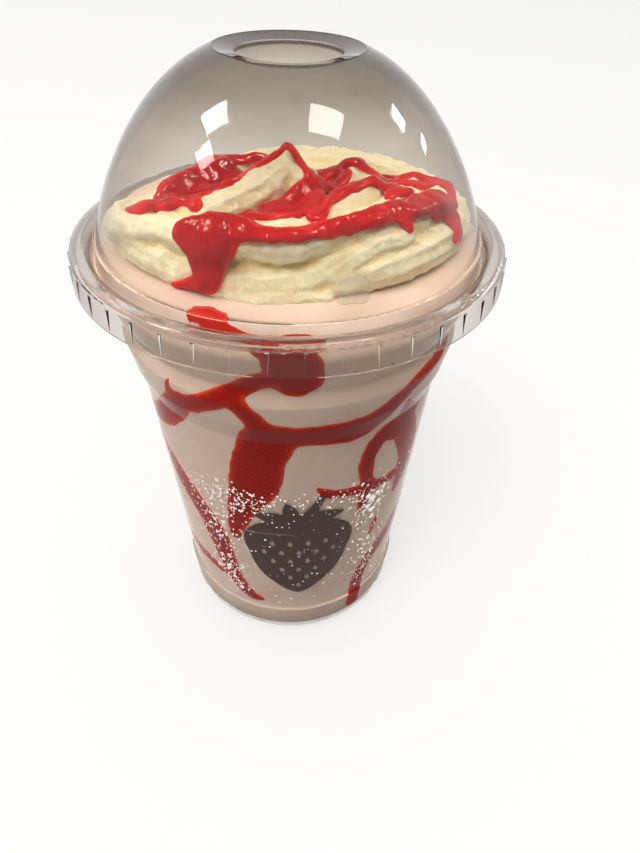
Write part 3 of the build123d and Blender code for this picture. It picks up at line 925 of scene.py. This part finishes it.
def make_drops():
    points, faces, count = [], [], 0
    spots = [(angle, height, 1.0, 1.0) for angle, height, _ in BLOTCHES]
    sizes = [half for _, _, half in BLOTCHES]
    while len(spots) < 3000:
        angle, height = rng.uniform(-180, 180), rng.uniform(-106, -50)
        patchy = 0.5 + 1.4 * noise.noise(Vector((angle / 2.6, height / 1.7, 3.1)))
        if rng.random() < drop_chance(angle, height) * patchy:
            spots.append((angle, height, rng.uniform(0.8, 1.3), 0.5))
            sizes.append(0.13 + 0.26 * rng.random() ** 2)
    for (angle, height, tall, thick), size in zip(spots, sizes):
        a = math.radians(angle)
        out = np.array([math.sin(a), -math.cos(a), 0.0])
        across = np.array([math.cos(a), math.sin(a), 0.0])
        axes = np.array([across * size, np.array([0, 0, size * tall]), out * min(0.16, size * thick)])
        points.append(on_circle(angle, float(outer_wall(height)), height) + DROP_POINTS @ axes)
        faces += [tuple(i + count for i in f) for f in DROP_FACES]
        count += len(DROP_POINTS)
    return make_piece("drops", np.vstack(points), faces, droplet_mat)


drops = make_drops()
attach(drops, "root")

# ---------------------------------------------------------------- clear parts
for name, mat in (("cup", cup_plastic), ("dome_lid", lid_plastic)):
    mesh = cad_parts[name].data
    mesh.materials.clear()
    mesh.materials.append(mat)

# ---------------------------------------------------------------- stage
WORLD_LIGHT, KEY_LIGHT, PANEL_LIGHT, FLOOR_GLOW = 0.95, 6.2, 34, 0.5
CEILING = 2.32
FLOOR_SIDES, FLOOR_RADIUS = 96, 4
floor_turns = [2 * math.pi * n / FLOOR_SIDES for n in range(FLOOR_SIDES)]
floor_mesh = bpy.data.meshes.new("floor")
floor_mesh.from_pydata(
    [(FLOOR_RADIUS * math.cos(a), FLOOR_RADIUS * math.sin(a), -0.0005) for a in floor_turns],
    [],
    [tuple(range(FLOOR_SIDES))],
)
floor = bpy.data.objects.new("floor", floor_mesh)
collection.objects.link(floor)


def seen_white(nodes, links):
    """1 for the rays that look straight, by mirror or through glass; 0 for those that carry light."""
    path = nodes.new("ShaderNodeLightPath")
    last = path.outputs["Is Camera Ray"]
    for kind in ("Is Glossy Ray", "Is Transmission Ray"):
        most = nodes.new("ShaderNodeMath")
        most.operation = "MAXIMUM"
        links.new(last, most.inputs[0])
        links.new(path.outputs[kind], most.inputs[1])
        last = most.outputs[0]
    less = nodes.new("ShaderNodeMath")
    less.operation = "SUBTRACT"
    less.use_clamp = True
    links.new(last, less.inputs[0])
    links.new(path.outputs["Diffuse Depth"], less.inputs[1])
    return less.outputs[0]


floor_mat = bpy.data.materials.new("floor")
floor_mat.use_nodes = True
nodes, links = floor_mat.node_tree.nodes, floor_mat.node_tree.links
nodes.clear()
diffuse = nodes.new("ShaderNodeBsdfDiffuse")
diffuse.inputs["Color"].default_value = (0.4, 0.39, 0.38, 1)
glow = nodes.new("ShaderNodeEmission")
glow.inputs["Strength"].default_value = FLOOR_GLOW
both = nodes.new("ShaderNodeAddShader")
pick = nodes.new("ShaderNodeMixShader")
out = nodes.new("ShaderNodeOutputMaterial")
links.new(diffuse.outputs[0], both.inputs[0])
links.new(glow.outputs[0], both.inputs[1])
links.new(seen_white(nodes, links), pick.inputs[0])
links.new(diffuse.outputs[0], pick.inputs[1])
links.new(both.outputs[0], pick.inputs[2])
links.new(pick.outputs[0], out.inputs["Surface"])
floor_mesh.materials.append(floor_mat)

world = bpy.data.worlds.new("world")
bpy.context.scene.world = world
world.use_nodes = True
nodes, links = world.node_tree.nodes, world.node_tree.links
nodes.clear()
light = nodes.new("ShaderNodeBackground")
light.inputs["Color"].default_value = (1.0, 0.98, 0.95, 1)
light.inputs["Strength"].default_value = WORLD_LIGHT
white = nodes.new("ShaderNodeBackground")
white.inputs["Color"].default_value = (1, 1, 1, 1)
white.inputs["Strength"].default_value = 1
# Light that reaches a surface through clear plastic is counted once, by the shadow rays.
once = nodes.new("ShaderNodeMixShader")
links.new(nodes.new("ShaderNodeLightPath").outputs["Is Transmission Ray"], once.inputs[0])
links.new(light.outputs[0], once.inputs[1])
pick = nodes.new("ShaderNodeMixShader")
out = nodes.new("ShaderNodeOutputWorld")
links.new(seen_white(nodes, links), pick.inputs[0])
links.new(once.outputs[0], pick.inputs[1])
links.new(white.outputs[0], pick.inputs[2])
links.new(pick.outputs[0], out.inputs["Surface"])


# ---------------------------------------------------------------- lamps
def panel(name, x, y, size_x, size_y, radiance):
    """A ceiling panel that faces down."""
    lamp = bpy.data.lights.new(name, "AREA")
    lamp.shape = "RECTANGLE"
    lamp.size, lamp.size_y = size_x, size_y
    lamp.energy = radiance * math.pi * size_x * size_y
    lamp.color = (1.0, 0.97, 0.93)
    obj = bpy.data.objects.new(name, lamp)
    obj.location = (x, y, CEILING)
    collection.objects.link(obj)
    return obj


# Panels of a ceiling grid, which the dome mirrors as small bright squares.
for n, (x, y, size_x, size_y) in enumerate(
    ((-1.56, 0.30, 0.72, 0.62), (-2.18, -0.42, 0.64, 0.58), (0.71, -0.16, 0.68, 0.68),
     (2.80, 1.60, 0.74, 0.62), (5.05, 2.85, 0.72, 0.76))
):
    gleam = panel(f"panel_{n}", x, y, size_x, size_y, PANEL_LIGHT)
    gleam.visible_diffuse = False
key = panel("soft_key", -0.9, -1.4, 1.6, 1.6, KEY_LIGHT)
key.visible_glossy = False
key.visible_transmission = False
